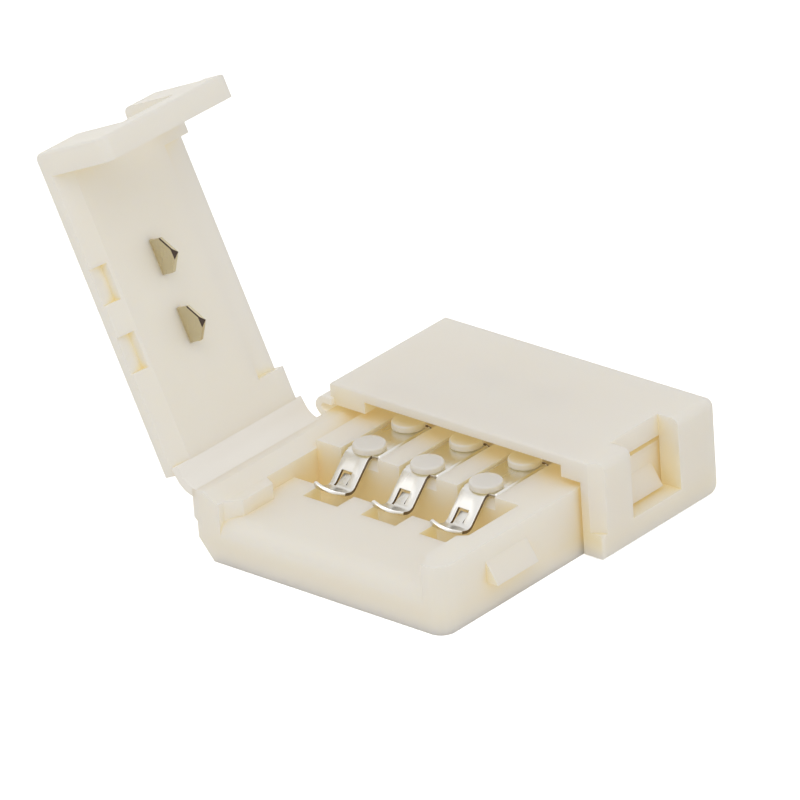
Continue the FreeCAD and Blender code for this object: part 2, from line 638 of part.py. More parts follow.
base = make_base()
contacts = {}
for column, step in CONTACT_COLUMNS.items():
    contacts[column] = make_contact("contact_strip_" + column, step)
front_cover = make_cover("front_cover", -1, "Sizes.front_open_angle")
back_cover = make_cover("back_cover", 1, "Sizes.back_open_angle")
front_teeth = [make_tooth("front_tooth_" + word, -1, share, "Sizes.front_open_angle")
               for word, share in (("near_hinge", "-0.5"), ("near_latch", "0.5"))]
back_teeth = [make_tooth("back_tooth_" + word, 1, share, "Sizes.back_open_angle")
              for word, share in (("near_hinge", "-0.5"), ("near_latch", "0.5"))]
front_web = make_web("front_hinge_web", -1, "Sizes.front_open_angle", "front")
back_web = make_web("back_hinge_web", 1, "Sizes.back_open_angle", "back")
doc.recompute()

# Check every feature, then write the parts

for item in doc.Objects:
    for word in ("Invalid", "Error"):
        if word in item.State:
            raise ValueError("%s is %s" % (item.Label, word))
    shape = getattr(item, "Shape", None)
    if shape is not None and item.TypeId not in ("Sketcher::SketchObject", "App::Plane"):
        if shape.isNull() or not shape.isValid():
            raise ValueError("bad shape in " + item.Label)

NODES = {
    "base_housing": [base],
    "front_hinge_web": [front_web],
    "back_hinge_web": [back_web],
    "front_cover": [front_cover],
    "back_cover": [back_cover],
    "front_cover_teeth": front_teeth,
    "back_cover_teeth": back_teeth,
}
for column, body in contacts.items():
    NODES["contact_strip_" + column] = [body]

for node, bodies in NODES.items():
    if len(bodies) == 1:
        shape = bodies[0].Shape
    else:
        shape = Part.makeCompound([body.Shape for body in bodies])
    box = shape.BoundBox
    print("%-22s %8.3f mm3  %d solid(s)  X %.2f %.2f  Y %.2f %.2f  Z %.2f %.2f" % (
        node, shape.Volume, len(shape.Solids), box.XMin, box.XMax, box.YMin, box.YMax, box.ZMin, box.ZMax))
    shape.exportStep("parts/%s.step" % node)
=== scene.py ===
# %% [markdown]
# # A clip connector for LED strips
#
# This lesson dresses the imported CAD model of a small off-white clip connector. Two LED strips
# meet in it end to end, over three sprung metal contacts, and a snap cover holds each of them.
# One cover is open and the other is shut. The CAD solids already carry the moulded shapes, so
# the work here is on the thin hinge webs, the metal parts, the finishes and the light.

# %% Load the frame
import math

import bmesh
import bpy
from mathutils import Matrix, Vector


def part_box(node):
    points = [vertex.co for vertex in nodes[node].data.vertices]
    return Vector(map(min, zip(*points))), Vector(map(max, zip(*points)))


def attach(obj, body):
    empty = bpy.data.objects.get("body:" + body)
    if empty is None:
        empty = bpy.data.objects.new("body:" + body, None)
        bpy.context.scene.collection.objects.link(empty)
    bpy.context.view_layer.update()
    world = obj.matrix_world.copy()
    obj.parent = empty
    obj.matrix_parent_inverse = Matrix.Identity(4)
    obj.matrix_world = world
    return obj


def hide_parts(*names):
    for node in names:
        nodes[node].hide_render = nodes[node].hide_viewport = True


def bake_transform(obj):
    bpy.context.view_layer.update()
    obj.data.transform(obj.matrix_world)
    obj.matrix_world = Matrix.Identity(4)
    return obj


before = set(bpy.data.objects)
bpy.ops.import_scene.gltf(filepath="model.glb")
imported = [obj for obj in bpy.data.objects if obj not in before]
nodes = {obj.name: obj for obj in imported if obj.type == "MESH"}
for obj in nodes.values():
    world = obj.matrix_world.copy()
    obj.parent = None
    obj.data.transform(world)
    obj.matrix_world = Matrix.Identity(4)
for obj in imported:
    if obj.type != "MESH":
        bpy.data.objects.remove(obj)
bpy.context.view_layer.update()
MM = 0.001
print("nodes:", sorted(nodes))

# %% [markdown]
# ## Colour and node helpers
#
# Blender's shaders work in linear light, and a colour picked from a screen is in sRGB, so one
# function turns a hex value to linear. A second small function adds a node, sets its sockets
# and links it, which keeps each material short enough to read.

# %% Colours
def linear(hex_colour):
    """sRGB hex to a linear RGBA tuple."""
    parts = [int(hex_colour[i:i + 2], 16) / 255 for i in (1, 3, 5)]
    light = [c / 12.92 if c <= 0.04045 else ((c + 0.055) / 1.055) ** 2.4 for c in parts]
    return (*light, 1.0)


# %% Nodes
def add_node(tree, kind, settings=None, **inputs):
    """Add a node; each input is a value, or another node's output socket to link.

    An input goes by its socket's name, or by its place on the node as i0, i1 and so on.
    """
    node = tree.nodes.new(kind)
    for key, value in (settings or {}).items():
        setattr(node, key, value)
    for key, value in inputs.items():
        by_place = key[0] == "i" and key[1:].isdigit()
        socket = node.inputs[int(key[1:]) if by_place else key.replace("_", " ")]
        if isinstance(value, bpy.types.NodeSocket):
            tree.links.new(value, socket)
        else:
            socket.default_value = value
    return node


def new_material(name):
    """Empty node material with only its output node."""
    material = bpy.data.materials.new(name)
    material.use_nodes = True
    material.node_tree.nodes.clear()
    output = material.node_tree.nodes.new("ShaderNodeOutputMaterial")
    return material, material.node_tree, output


# %% [markdown]
# ## Moulded nylon
#
# The housing and covers are natural nylon, moulded with a fine satin texture. Nylon lets a good
# deal of light into it, so edges look soft, thin walls glow, and deep corners turn honey-coloured,
# because blue light is lost first. Subsurface scattering with a longer path for red gives the soft
# edges and some of the warmth. The corners are painted: ambient occlusion finds them, where
# painted shade turns the colour to honey and a painted glow stands in for the little light that
# reaches them through the walls, which no short path inside can carry. The foot of the part stays
# pale, because a bright floor is not a corner.

# %% Corners of the nylon
SKY_REACH = 4.3 * MM                    # how far out ambient occlusion looks for walls
FULL_CORNER = 0.14                      # share of open sky at which the honey is full
OPEN_PLACE = 0.70                       # share of open sky at which there is none
FOOT = (0.1 * MM, 0.85 * MM)            # heights between which the honey comes in


def corner_share(tree, place):
    """Socket that says how deep in a corner a point lies, from 0 to 1; it masks the painted shade
    and painted glow of the corners.
    """
    open_sky = add_node(tree, "ShaderNodeAmbientOcclusion", {"samples": 12, "only_local": False},
                        Distance=SKY_REACH)
    depth = add_node(tree, "ShaderNodeMapRange", None, i0=open_sky.outputs["AO"],
                     i1=FULL_CORNER, i2=OPEN_PLACE, i3=1.0, i4=0.0)
    height = add_node(tree, "ShaderNodeSeparateXYZ", None, Vector=place)
    off_floor = add_node(tree, "ShaderNodeMapRange", None, i0=height.outputs["Z"],
                         i1=FOOT[0], i2=FOOT[1])
    both = add_node(tree, "ShaderNodeMath", {"operation": "MULTIPLY"},
                    i0=depth.outputs[0], i1=off_floor.outputs[0])
    return both.outputs[0]


# %% Sizes in the nylon
CLOUD_SIZE = 4.0 * MM                   # slow change of cream, as the melt flowed
SPARK_GRAIN = 0.12 * MM                 # spark texture of the mould, drawn coarser to show
GRAIN_DEPTH = 0.01 * MM
SATIN = (0.42, 0.52)                    # lowest and highest roughness in the texture
NOISE_RANGE = (0.3, 0.7)                # the values that a noise mostly takes
LIGHT_DEPTH = 1.6 * MM                  # how far light spreads inside
LIGHT_PATHS = (1.0, 0.93, 0.75)         # red goes farthest, blue is lost first


# %% Nylon recipe
def moulded_nylon(name, light, shade, honey, scatter, glow):
    """Satin nylon: two close creams in a soft cloud, painted honey shade and a painted glow in its
    corners, light scattered inside.
    """
    material, tree, output = new_material(name)
    place = add_node(tree, "ShaderNodeTexCoord").outputs["Object"]
    corner = corner_share(tree, place)
    cloud = add_node(tree, "ShaderNodeTexNoise", None, Vector=place, Scale=1 / CLOUD_SIZE,
                     Detail=2.0)
    cream = add_node(tree, "ShaderNodeMix", {"data_type": "RGBA"}, i0=cloud.outputs["Fac"],
                     i6=linear(light), i7=linear(shade))
    # painted shade: the cream turns honey where the corner mask is high
    painted_corner_shade = add_node(tree, "ShaderNodeMix", {"data_type": "RGBA"}, i0=corner,
                    i6=cream.outputs[2], i7=linear(honey))
    grain = add_node(tree, "ShaderNodeTexNoise", None, Vector=place, Scale=1 / SPARK_GRAIN,
                     Detail=3.0)
    bump = add_node(tree, "ShaderNodeBump", None, Strength=0.12, Distance=GRAIN_DEPTH,
                    Height=grain.outputs["Fac"])
    rough = add_node(tree, "ShaderNodeMapRange", None, i0=grain.outputs["Fac"],
                     i1=NOISE_RANGE[0], i2=NOISE_RANGE[1], i3=SATIN[0], i4=SATIN[1])
    # painted glow: emission in the corners stands in for light that comes through the walls
    painted_corner_glow = add_node(tree, "ShaderNodeMath", {"operation": "MULTIPLY"}, i0=corner, i1=glow)
    shader = add_node(tree, "ShaderNodeBsdfPrincipled", None, Base_Color=painted_corner_shade.outputs[2],
                      Roughness=rough.outputs["Result"], IOR=1.53,
                      Normal=bump.outputs["Normal"], Subsurface_Weight=scatter,
                      Subsurface_Radius=LIGHT_PATHS, Subsurface_Scale=LIGHT_DEPTH,
                      Emission_Color=linear(honey), Emission_Strength=painted_corner_glow.outputs[0])
    tree.links.new(shader.outputs["BSDF"], output.inputs["Surface"])
    return material


# %% Nylon on the mouldings
# Both nylons paint honey shade into their corners and a faint painted glow there.
nylon = moulded_nylon("moulded_natural_nylon", "#F8F3EB", "#F5EFE5", "#E9D8AA",
                      scatter=0.6, glow=0.14)
# The webs' creams are painted lighter than the housing's, standing in for light that comes through
# the thin sheet.
lit_web_nylon = moulded_nylon("web_nylon_painted_lighter", "#FDFAF5", "#FBF7F1", "#F4ECD6",
                           scatter=0.0, glow=0.15)
for name in ("base_housing", "front_cover", "back_cover"):
    nodes[name].data.materials.clear()
    nodes[name].data.materials.append(nylon)
    print(nylon.name, "on", name)

# %% [markdown]
# ## Tinned metal
#
# The contacts are thin bronze strip with a tin coat: bright, a little soft, with a faint grain
# along the rolling direction. Where the press cuts the long sides through the coat, bare bronze
# shows, painted darker than bare bronze as a painted dark reflection. The teeth are painted
# yellower, a painted olive reflection of the honey nylon around them, and their ground facets are
# bare and painted dark, a painted dark reflection. One recipe makes all four.

# %% Tinned metal
LINE_WIDTH = 0.05 * MM                  # rolling lines are finer, and drawn coarser to show
LINE_LENGTH = 0.9 * MM
LINE_DEPTH = 0.002 * MM


def tinned_bronze(name, colour, rough_low, rough_high):
    """Rolled strip: fine lines along Y in its gloss and its surface."""
    material, tree, output = new_material(name)
    place = add_node(tree, "ShaderNodeTexCoord").outputs["Object"]
    stretch = add_node(tree, "ShaderNodeMapping", None, Vector=place,
                       Scale=(1 / LINE_WIDTH, 1 / LINE_LENGTH, 1 / LINE_LENGTH))
    grain = add_node(tree, "ShaderNodeTexNoise", None, Vector=stretch.outputs["Vector"],
                     Scale=1.0, Detail=3.0)
    rough = add_node(tree, "ShaderNodeMapRange", None, i0=grain.outputs["Fac"],
                     i1=NOISE_RANGE[0], i2=NOISE_RANGE[1], i3=rough_low, i4=rough_high)
    bump = add_node(tree, "ShaderNodeBump", None, Strength=0.03, Distance=LINE_DEPTH,
                    Height=grain.outputs["Fac"])
    shader = add_node(tree, "ShaderNodeBsdfPrincipled", None, Base_Color=linear(colour),
                      Metallic=1.0, Roughness=rough.outputs["Result"],
                      Normal=bump.outputs["Normal"])
    tree.links.new(shader.outputs["BSDF"], output.inputs["Surface"])
    return material


tin = tinned_bronze("tinned_bronze_strip", "#E3E1DC", 0.27, 0.33)
# bare bronze on the cut sides, painted darker as a painted dark reflection
sheared = tinned_bronze("sheared_bronze_painted_dark", "#857A6E", 0.28, 0.36)
# yellower tin on the teeth, a painted olive reflection of the nylon around them
tooth_tin = tinned_bronze("tooth_tin_painted_olive", "#D2C8AA", 0.26, 0.36)
# bare metal on the ground facets, painted dark as a painted dark reflection
ground = tinned_bronze("ground_facet_painted_dark", "#4A403A", 0.30, 0.40)
print("metals:", tin.name, sheared.name, tooth_tin.name, ground.name)

# %% [markdown]
# ## Modelling helpers
#
# Every new piece below is modelled as by hand: a primitive at its size and place, then edit mode
# tools, then modifiers. The same few steps come back each time, so they are short helpers:
# choosing a piece, picking its points or edges by their place, and settling it at the origin.

# %% Object helpers
def only(piece):
    """Select one piece alone and make it the active one."""
    bpy.ops.object.select_all(action="DESELECT")
    piece.select_set(True)
    bpy.context.view_layer.objects.active = piece


def settle():
    """Put the active piece's place, turn and scale into its mesh."""
    bpy.ops.object.transform_apply(location=True, rotation=True, scale=True)


def add_sheet(name, size, place, turn):
    """One flat face of the size given, turned about Y, named and settled at the origin."""
    bpy.ops.object.select_all(action="DESELECT")
    bpy.ops.mesh.primitive_plane_add(size=size[0], location=place, rotation=(0, turn, 0))
    sheet = bpy.context.object
    sheet.name = name
    bpy.ops.transform.resize(value=(1, size[1] / size[0], 1))
    settle()
    return sheet


def apply_modifier(piece, kind, **settings):
    """Add a modifier, set it and apply it."""
    modifier = piece.modifiers.new(kind.lower(), kind)
    for key, value in settings.items():
        setattr(modifier, key, value)
    bpy.ops.object.modifier_apply(modifier=modifier.name)


# %% Mesh helpers
SAME_PLACE = 0.001 * MM                 # points closer than this are taken as one
CUT_TOLERANCE = 0.0001 * MM
SHARP_EDGE = math.radians(50)           # modifiers round only edges sharper than this


def pick(piece, kind, test):
    """Select the verts, edges or faces of the mesh in edit mode that pass a test."""
    bpy.ops.mesh.select_mode(type={"verts": "VERT", "edges": "EDGE", "faces": "FACE"}[kind])
    bpy.ops.mesh.select_all(action="DESELECT")
    mesh = bmesh.from_edit_mesh(piece.data)
    chosen = [item for item in getattr(mesh, kind) if test(item)]
    for item in chosen:
        item.select_set(True)
    bmesh.update_edit_mesh(piece.data)
    return len(chosen)


def middle(item):
    """Middle of an edge or a face."""
    return sum((v.co for v in item.verts), Vector()) / len(item.verts)


def face_outwards():
    """Turn all faces of the active piece outwards."""
    bpy.ops.object.mode_set(mode="EDIT")
    bpy.ops.mesh.select_all(action="SELECT")
    bpy.ops.mesh.normals_make_consistent(inside=False)
    bpy.ops.object.mode_set(mode="OBJECT")


def extent(piece):
    """Lowest and highest corner of a piece, in mm."""
    along = list(zip(*(v.co for v in piece.data.vertices)))
    return [[round(end(values) / MM, 2) for values in along] for end in (min, max)]


# %% [markdown]
# ## Hinge webs
#
# A living hinge is a thin web of the same nylon that joins the base and a cover, and bends each
# time the cover opens. A web could be a bent tube or a swept curve. Here it is a strip that is
# extruded from run to run along its section, because the folds are then few and easy to round.
# The open web is one smooth ramp. Both its ends run a little way inside the wall and the cover
# at a flat angle, so no step or groove shows where they meet. The shut web bulges out behind.

# %% Web recipe
WEB_FAR = 8.27 * MM                     # both webs end here, at the ends of the connector
WEB_EDGE_ROUND = 0.04 * MM
WEB_SMOOTH = math.radians(40)


def hinge_web(name, side, near, section, fold_round, thickness, offset):
    """Strip along a section of (x, z) points in mm, with rounded folds and a thickness."""
    points = [(x * MM, z * MM) for x, z in section]
    (x0, z0), (x1, z1) = points[0], points[1]
    run = math.hypot(x1 - x0, z1 - z0)
    place = ((x0 + x1) / 2, side * (near + WEB_FAR) / 2, (z0 + z1) / 2)
    web = add_sheet(name, (run, WEB_FAR - near), place, -math.atan2(z1 - z0, x1 - x0))
    bpy.ops.object.mode_set(mode="EDIT")
    for (xa, za), (xb, zb) in zip(points[1:], points[2:]):
        pick(web, "edges", lambda e: all(
            (v.co - Vector((xa, v.co.y, za))).length < SAME_PLACE for v in e.verts))
        step = (xb - xa, 0, zb - za)
        bpy.ops.mesh.extrude_region_move(TRANSFORM_OT_translate={"value": step})
    folds = pick(web, "edges", lambda e: len(e.link_faces) == 2)
    bpy.ops.mesh.bevel(offset=fold_round, segments=4, affect="EDGES")
    bpy.ops.object.mode_set(mode="OBJECT")
    apply_modifier(web, "SOLIDIFY", thickness=thickness, offset=offset, use_even_offset=True)
    apply_modifier(web, "BEVEL", width=WEB_EDGE_ROUND, segments=2, angle_limit=SHARP_EDGE)
    face_outwards()
    bpy.ops.object.shade_smooth_by_angle(angle=WEB_SMOOTH)
    print(name, folds, "folds,", len(web.data.polygons), "faces")
    return web


# %% The two webs
OPEN_SECTION = [(-6.32, 3.12), (-6.80, 3.16), (-7.06, 3.24),
                (-7.30, 3.42), (-7.47, 3.66), (-7.67, 3.98)]
SHUT_SECTION = [(-6.60, 2.975), (-7.20, 2.975), (-7.43, 3.30), (-7.20, 3.625), (-6.60, 3.625)]
front_web = hinge_web("front_web_sheet", -1, near=0.28 * MM, section=OPEN_SECTION,
                      fold_round=0.12 * MM, thickness=0.42 * MM, offset=1.0)
back_web = hinge_web("back_web_sheet", 1, near=0.42 * MM, section=SHUT_SECTION,
                     fold_round=0.14 * MM, thickness=0.33 * MM, offset=0.0)

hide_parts("front_hinge_web")
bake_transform(front_web)
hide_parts("back_hinge_web")
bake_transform(back_web)
for web in (front_web, back_web):
    web.data.materials.append(lit_web_nylon)
    print(web.name, "from", *extent(web), "mm")

# %% [markdown]
# ## Contact strips
#
# Each contact is one blank of tinned bronze sheet, cut out and bent in a press. It is made here
# the same way. Half the blank is drawn flat and cut along lines with bisect, the waste is
# deleted, and then each bend turns all that lies beyond it, from the tip inwards. The body's
# right side is turned up a little too, which shows as a fine bright line along each slot. A
# mirror makes the other half, and Solidify gives the sheet its thickness.

# %% Sizes of a contact
SHEET = 0.15 * MM
FLAT_Z = 3.0 * MM                       # middle of the sheet where it lies flat
HALF_BODY = 0.92 * MM
SPRING_SIDES = (-0.83 * MM, 0.47 * MM)  # the spring stands nearer the body's left side
OPENING_SIDES = (-0.56 * MM, 0.02 * MM)
TAB_SIDES = (-0.46 * MM, -0.02 * MM)
BODY_END = 1.68 * MM
TURNED_SIDE = HALF_BODY - 0.14 * MM     # the body's right side is turned up from here
OPENING_TOP = 2.64 * MM
TAB_TOP = 2.72 * MM
TAB_ROOT = 3.253 * MM
LEFT_TIP = 4.68 * MM                    # the tip is cut off at a slant
RIGHT_TIP = 3.92 * MM
DOWN_BENDS = [1.749, 1.852, 1.955]      # in mm, as the two rows below
UP_BENDS = [3.253, 3.348, 3.444, 3.539, 3.634]
CURL_BENDS = [4.12, 4.26, 4.40, 4.54]

# %% Flat blank with its cutting lines
strip = add_sheet("contact_spring_middle", (2 * HALF_BODY, LEFT_TIP), (0, LEFT_TIP / 2, FLAT_Z), 0)
bpy.ops.object.mode_set(mode="EDIT")
cuts = [("x", x) for x in SPRING_SIDES + OPENING_SIDES + TAB_SIDES + (TURNED_SIDE,)]
cuts += [("y", y) for y in (BODY_END, OPENING_TOP, TAB_TOP)]
cuts += [("y", y * MM) for y in DOWN_BENDS + UP_BENDS + CURL_BENDS]
for axis, value in cuts:
    bpy.ops.mesh.select_all(action="SELECT")
    place = (value, 0, 0) if axis == "x" else (0, value, 0)
    normal = (1, 0, 0) if axis == "x" else (0, 1, 0)
    bpy.ops.mesh.bisect(plane_co=place, plane_no=normal, threshold=CUT_TOLERANCE)
print("blank faces:", len(bmesh.from_edit_mesh(strip.data).faces))

# %% [markdown]
# The press leaves the body, the spring with its opening, and the tab inside the opening. A slit
# beside the tab runs on into the bend. All the rest of the blank is waste.

# %% Cut the waste away
def waste(face):
    """True for a face of the blank that the press cuts away."""
    x, y = middle(face).x, middle(face).y
    beside = not SPRING_SIDES[0] < x < SPRING_SIDES[1] and y > BODY_END
    in_opening = OPENING_SIDES[0] < x < OPENING_SIDES[1] and OPENING_TOP < y < TAB_ROOT
    in_tab = TAB_SIDES[0] < x < TAB_SIDES[1] and y > TAB_TOP
    low_slit = OPENING_SIDES[0] < x < TAB_SIDES[0] and TAB_ROOT < y < UP_BENDS[2] * MM
    return beside or (in_opening and not in_tab) or low_slit


cut = pick(strip, "faces", waste)
bpy.ops.mesh.delete(type="FACE")
print("waste faces deleted:", cut)

# %% Slanted tip and round corners
SHOULDER_ROUND = 0.07 * MM
TIP_ROUNDS = ((SPRING_SIDES[0], LEFT_TIP, 0.17 * MM), (SPRING_SIDES[1], RIGHT_TIP, 0.05 * MM))
NEARLY = 0.01 * MM

bpy.ops.mesh.select_all(action="SELECT")
slant = Vector((LEFT_TIP - RIGHT_TIP, SPRING_SIDES[1] - SPRING_SIDES[0], 0)).normalized()
bpy.ops.mesh.bisect(plane_co=(SPRING_SIDES[0], LEFT_TIP, 0), plane_no=slant, clear_outer=True,
                    threshold=CUT_TOLERANCE)
shoulders = pick(strip, "verts", lambda v: abs(v.co.x) > HALF_BODY - NEARLY
                 and v.co.y > BODY_END - NEARLY)
bpy.ops.mesh.bevel(offset=SHOULDER_ROUND, segments=3, affect="VERTICES")
for x, tip, tip_round in TIP_ROUNDS:
    pick(strip, "verts", lambda v: (v.co - Vector((x, tip, v.co.z))).length < SAME_PLACE)
    bpy.ops.mesh.bevel(offset=tip_round, segments=4, affect="VERTICES")
print("shoulders rounded:", shoulders)

# %% [markdown]
# A tight bend is made of a few small turns side by side. The spring comes down from the body, then
# turns up again at the foot, and its tip curls up until it stands, which is the bright lip that
# the photograph shows. The tab in the opening is pressed in.

# %% Bending
DOWN_TURN = 44.2 / 3                    # degrees at each line
UP_TURN = 60.3 / 5
CURL_TURN = 18
TAB_TURN = 14
SIDE_TURN = 45
JUST_PAST = 0.002 * MM
UP = -1                                 # with no window, a turn about X goes the other way


def bend(place, degrees):
    """Turn all that lies beyond a line across the strip; positive turns up."""
    pick(strip, "verts", lambda v: v.co.y > place + JUST_PAST)
    bpy.ops.transform.rotate(value=UP * math.radians(degrees), orient_axis="X",
                             center_override=(0, place, FLAT_Z))


# %% Bend the strip, from the tip inwards
for place in reversed(CURL_BENDS):
    bend(place * MM, CURL_TURN)
for place in reversed(UP_BENDS):
    bend(place * MM, UP_TURN)
pick(strip, "verts", lambda v: TAB_SIDES[0] - SAME_PLACE < v.co.x < TAB_SIDES[1] + SAME_PLACE
     and TAB_TOP - SAME_PLACE < v.co.y < TAB_ROOT - SAME_PLACE)
bpy.ops.transform.rotate(value=UP * math.radians(TAB_TURN), orient_axis="X",
                         center_override=(0, TAB_ROOT, FLAT_Z))
for place in reversed(DOWN_BENDS):
    bend(place * MM, -DOWN_TURN)
turned_up = pick(strip, "verts", lambda v: v.co.x > TURNED_SIDE + JUST_PAST)
bpy.ops.transform.rotate(value=math.radians(SIDE_TURN), orient_axis="Y",
                         center_override=(TURNED_SIDE, 0, FLAT_Z))
bpy.ops.object.mode_set(mode="OBJECT")
print("points turned up at the side:", turned_up)
print("half strip from", *extent(strip), "mm")

# %% [markdown]
# Solidify gives the cut sides a material slot of their own. Only the long sides keep it, because
# the photograph shows the lips' edges as bright as their faces. A fine bevel on every edge
# catches the light.

# %% Mirror and thicken
WHOLLY_SIDEWAYS = 0.9                   # a long side's normal is this much along X
STRIP_EDGE_ROUND = 0.03 * MM
STRIP_SMOOTH = math.radians(35)
TIN_SLOT, SHEARED_SLOT = 0, 1

apply_modifier(strip, "MIRROR", use_axis=(False, True, False), use_clip=True,
               merge_threshold=0.01 * MM)
strip.data.materials.append(tin)
strip.data.materials.append(sheared)
apply_modifier(strip, "SOLIDIFY", thickness=SHEET, offset=0.0, use_even_offset=True,
               material_offset_rim=SHEARED_SLOT)
for face in strip.data.polygons:
    on_rim = face.material_index == SHEARED_SLOT
    on_long_side = on_rim and abs(face.normal.x) > WHOLLY_SIDEWAYS
    face.material_index = SHEARED_SLOT if on_long_side else TIN_SLOT
apply_modifier(strip, "BEVEL", width=STRIP_EDGE_ROUND, segments=2, angle_limit=SHARP_EDGE)
face_outwards()
bpy.ops.object.shade_smooth_by_angle(angle=STRIP_SMOOTH)
print("sheared faces:", sum(f.material_index for f in strip.data.polygons))

# %% Three contacts
CONTACT_X = {"left": -3.07 * MM, "middle": 0.13 * MM, "right": 3.33 * MM}
springs = {"middle": strip}
for column in ("left", "right"):
    only(strip)
    bpy.ops.object.duplicate()
    springs[column] = bpy.context.object
    springs[column].name = "contact_spring_" + column
for column, spring in springs.items():
    only(spring)
    bpy.ops.transform.translate(value=(CONTACT_X[column], 0, 0))
    settle()
    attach(spring, "base")
    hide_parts("contact_strip_" + column)
    print(spring.name, len(spring.data.polygons), "faces, from", *extent(spring), "mm")

# %% [markdown]
# ## Teeth
#
# Two pointed blades of sheet metal are pressed into each cover, and bite into the strip between
# its tracks. One blade is drawn on the shut front cover: a face with its lower edge extruded and
# merged to a point, and thickened.

# %% One blade
TOOTH_HALF = 0.785 * MM
TOOTH_TOP = 3.80 * MM
SHOULDER_Z = 2.83 * MM
POINT_Z = 2.20 * MM
TOOTH_FACE = -4.965 * MM
TOOTH_X = [-1.30 * MM, 1.80 * MM]
BLADE_SHEET = 0.17 * MM

bpy.ops.object.select_all(action="DESELECT")
bpy.ops.mesh.primitive_plane_add(size=2 * TOOTH_HALF, rotation=(math.radians(90), 0, 0),
                                 location=(TOOTH_X[0], TOOTH_FACE, (TOOTH_TOP + SHOULDER_Z) / 2))
blade = bpy.context.object
blade.name = "front_teeth_blades"
bpy.ops.transform.resize(value=(1, 1, (TOOTH_TOP - SHOULDER_Z) / (2 * TOOTH_HALF)))
settle()
bpy.ops.object.mode_set(mode="EDIT")
pick(blade, "edges", lambda e: middle(e).z < SHOULDER_Z + NEARLY)
to_point = (0, 0, POINT_Z - SHOULDER_Z)
bpy.ops.mesh.extrude_region_move(TRANSFORM_OT_translate={"value": to_point})
bpy.ops.mesh.merge(type="CENTER")
bpy.ops.object.mode_set(mode="OBJECT")
apply_modifier(blade, "SOLIDIFY", thickness=BLADE_SHEET, offset=-1.0)
print("one blade from", *extent(blade), "mm")

# %% [markdown]
# The point is ground off at a slant, from the front face back, and one lower edge is ground along
# its length. Bisect cuts the slant and fills it, and a bevel makes the ground edge. Both places
# are bare metal, painted darker as a painted dark reflection, so they have a material slot of
# their own.

# %% Grind the point
GROUND_RIGHT = 0.36 * MM                # how far the cut runs up the right edge
GROUND_LEFT = 0.34 * MM
GROUND_BACK = (0.15 * MM, 0.02 * MM)    # where it comes out behind the point
GROUND_EDGE = 0.045 * MM

point = Vector((TOOTH_X[0], TOOTH_FACE, POINT_Z))
slope = Vector((TOOTH_HALF, 0, SHOULDER_Z - POINT_Z)).normalized()
upper = point + slope * GROUND_RIGHT
lower = point + Vector((-slope.x, 0, slope.z)) * GROUND_LEFT
behind = point + Vector((0, *GROUND_BACK))
ground_normal = (upper - behind).cross(lower - behind).normalized()
ground_normal *= -1 if ground_normal.z > 0 else 1
bpy.ops.object.mode_set(mode="EDIT")
bpy.ops.mesh.select_all(action="SELECT")
bpy.ops.mesh.bisect(plane_co=behind, plane_no=ground_normal, use_fill=True, clear_outer=True,
                    threshold=CUT_TOLERANCE)
print("blade points:", len(bmesh.from_edit_mesh(blade.data).verts))


# %% Grind the edge
ALONG = 0.99                            # cosine that counts as running along the edge
SLANTED = (0.1, 0.95)                   # a ground face's normal is this much along Y
TOOTH_TIN_SLOT, GROUND_SLOT = 0, 1


def right_edge(edge):
    """True for the front face's lower right edge."""
    spot = middle(edge)
    in_front = abs(spot.y - TOOTH_FACE) < SAME_PLACE
    along = (edge.verts[0].co - edge.verts[1].co).normalized()
    low_right = spot.x > TOOTH_X[0] and spot.z < SHOULDER_Z
    return in_front and low_right and abs(along.dot(slope)) > ALONG


pick(blade, "edges", right_edge)
bpy.ops.mesh.bevel(offset=GROUND_EDGE, segments=1, affect="EDGES")
bpy.ops.object.mode_set(mode="OBJECT")
blade.data.materials.append(tooth_tin)
blade.data.materials.append(ground)
for face in blade.data.polygons:
    slanted = SLANTED[0] < abs(face.normal.y) < SLANTED[1]
    face.material_index = GROUND_SLOT if slanted else TOOTH_TIN_SLOT
print("ground faces:", sum(f.material_index for f in blade.data.polygons))

# %% [markdown]
# The second blade is a copy, and the pair in the shut back cover is a mirror of the front pair,
# which needs its faces turned outwards again. The front pair then opens with its cover about the
# hinge line, by the angle that the photograph shows.

# %% Second blade and back pair
bpy.ops.object.duplicate()
second = bpy.context.object
bpy.ops.transform.translate(value=(TOOTH_X[1] - TOOTH_X[0], 0, 0))
settle()
only(blade)
second.select_set(True)
bpy.ops.object.join()
bpy.ops.object.duplicate()
back_blades = bpy.context.object
back_blades.name = "back_teeth_blades"
bpy.ops.object.mode_set(mode="EDIT")
bpy.ops.mesh.select_all(action="SELECT")
bpy.ops.transform.resize(value=(1, -1, 1), center_override=(0, 0, 0))
bpy.ops.object.mode_set(mode="OBJECT")
face_outwards()
print(back_blades.name, "from", *extent(back_blades), "mm")

# %% Open the front pair
OPEN_ANGLE = math.radians(114)
HINGE_LINE = (-7.2 * MM, 0, 3.3 * MM)

only(blade)
bpy.ops.object.mode_set(mode="EDIT")
bpy.ops.mesh.select_all(action="SELECT")
bpy.ops.transform.rotate(value=OPEN_ANGLE, orient_axis="Y", center_override=HINGE_LINE)
bpy.ops.object.mode_set(mode="OBJECT")
face_outwards()
for piece, body in ((blade, "front_cover"), (back_blades, "back_cover")):
    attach(piece, body)
    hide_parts(body + "_teeth")
    cad_teeth = [[round(c / MM, 2) for c in corner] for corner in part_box(body + "_teeth")]
    print(piece.name, "from", *extent(piece), "mm, the CAD teeth from", *cad_teeth)

# %% [markdown]
# ## Floor
#
# The photograph has a plain white ground. Where the camera sees the floor, it adds enough of its
# own light to look white, and the shadow that the connector casts still shows on it faintly.

